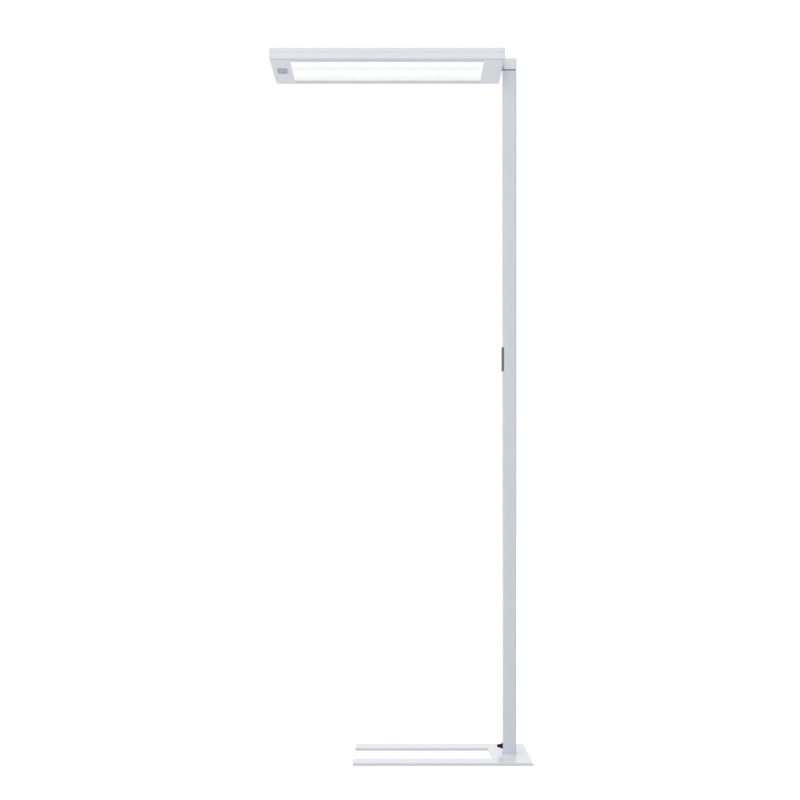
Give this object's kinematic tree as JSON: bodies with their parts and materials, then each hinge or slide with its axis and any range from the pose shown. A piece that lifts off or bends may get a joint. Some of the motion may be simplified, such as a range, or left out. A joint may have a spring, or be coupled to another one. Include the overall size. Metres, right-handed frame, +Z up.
{
  "type": "office floor lamp",
  "caption": "Tall office floor lamp: a flat rectangular light head swivels on a square post above a U-shaped flat base, with a key strip on the post.",
  "frame": {"origin": "on the floor, on the post's axis, at the underside of the centre pad", "axes": "+Z up along the post; the head and the base's arms point along -X; +Y is across the head, away from the picture's viewer"},
  "size_m": [0.7175, 0.388, 1.9525],
  "materials": {
    "base_paint": "gloss",
    "post_paint": "satin",
    "head_paint": "satin",
    "black_rubber": "matte",
    "black_plastic": "satin",
    "dark_plastic": "satin",
    "grey_plastic": "matte",
    "white_plastic": "matte",
    "circuit_board": "satin",
    "steel": "satin",
    "aluminium_sheet": "satin",
    "diffuser": "satin",
    "uplight": "satin",
    "lens": "gloss"
  },
  "bodies": {
    "stand": {"base_plate": "base_paint", "centre_pad": "black_rubber", "floor_pads": "black_rubber", "foot_insert": "steel", "base_screws": "steel", "post_tube": "post_paint", "cable_gland": "black_plastic", "gland_nut": "black_plastic", "terminal_bracket": "steel", "mains_terminal": "white_plastic", "post_lead": "grey_plastic", "lead_splice": "black_plastic", "control_housing": "dark_plastic", "control_board": "circuit_board", "tact_switches": "black_plastic", "control_lead": "black_plastic", "lead_connector": "white_plastic", "swivel_bush": "steel", "bush_screws": "steel", "bearing_ring": "dark_plastic"},
    "head": {"neck_block": "head_paint", "neck_cap": "head_paint", "swivel_spigot": "steel", "wave_washer": "steel", "spigot_nut": "steel", "stop_pin": "steel", "neck_spacer": "dark_plastic", "neck_screws": "steel", "head_anchor": "steel", "head_lower_shell": "head_paint", "head_upper_shell": "head_paint", "shell_spacers": "steel", "shell_screws": "steel", "diffuser_front": "diffuser", "diffuser_rear": "diffuser", "centre_rib": "diffuser", "down_reflector": "white_plastic", "down_led_boards": "white_plastic", "gear_tray": "aluminium_sheet", "up_led_boards": "white_plastic", "uplight_cover": "uplight", "led_driver": "grey_plastic", "control_module": "grey_plastic", "head_terminal": "white_plastic", "driver_lead": "black_plastic", "head_lead": "grey_plastic", "sensor_housing": "grey_plastic", "sensor_lens": "lens", "light_eye": "black_plastic", "sensor_board": "circuit_board", "sensor_lead": "black_plastic"},
    "up_key": {"key_up": "dark_plastic"},
    "power_key": {"key_power": "dark_plastic"},
    "down_key": {"key_down": "dark_plastic"}
  },
  "joints": [
    {"name": "head_swivel", "type": "hinge", "parent": "stand", "child": "head", "pos_m": [0, 0, 1.9225], "axis": [0, 0, 1], "range_deg": [-90, 90]},
    {"name": "up_key_press", "type": "slide", "parent": "stand", "child": "up_key", "axis": [1, 0, 0], "range_m": [0, 0.0006], "stiffness_N_per_m": 600, "springref_m": -0.001},
    {"name": "power_key_press", "type": "slide", "parent": "stand", "child": "power_key", "axis": [1, 0, 0], "range_m": [0, 0.0006], "stiffness_N_per_m": 600, "springref_m": -0.001},
    {"name": "down_key_press", "type": "slide", "parent": "stand", "child": "down_key", "axis": [1, 0, 0], "range_m": [0, 0.0006], "stiffness_N_per_m": 600, "springref_m": -0.001}
  ]
}
